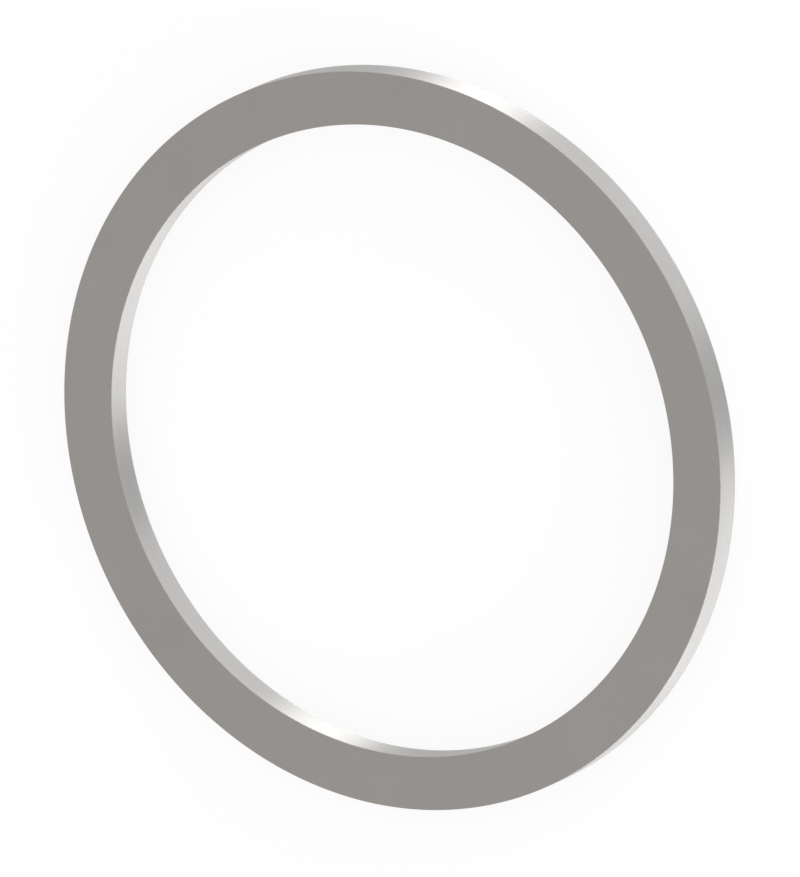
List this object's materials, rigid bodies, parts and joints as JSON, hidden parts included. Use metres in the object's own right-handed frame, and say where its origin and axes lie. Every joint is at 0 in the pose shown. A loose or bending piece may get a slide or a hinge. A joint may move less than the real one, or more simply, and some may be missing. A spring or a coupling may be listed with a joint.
{
  "type": "balance ring seal",
  "caption": "Flat steel ring of plain rectangular section with a wide bore, lapped on both faces, that seals a balance ring against its housing face.",
  "frame": {"origin": "centre of the bore on the back face, which the ring lies on", "axes": "+Z along the ring's axis, from the back face to the sealing face; X and Y in the plane of the back face"},
  "size_m": [0.09, 0.09, 0.0035],
  "materials": {
    "lapped_steel": "plain steel: dull grey lapped faces, brighter fine-turned bore and outer wall, edges lightly broken"
  },
  "bodies": {
    "root": {"seal_ring": "lapped_steel"}
  },
  "joints": []
}
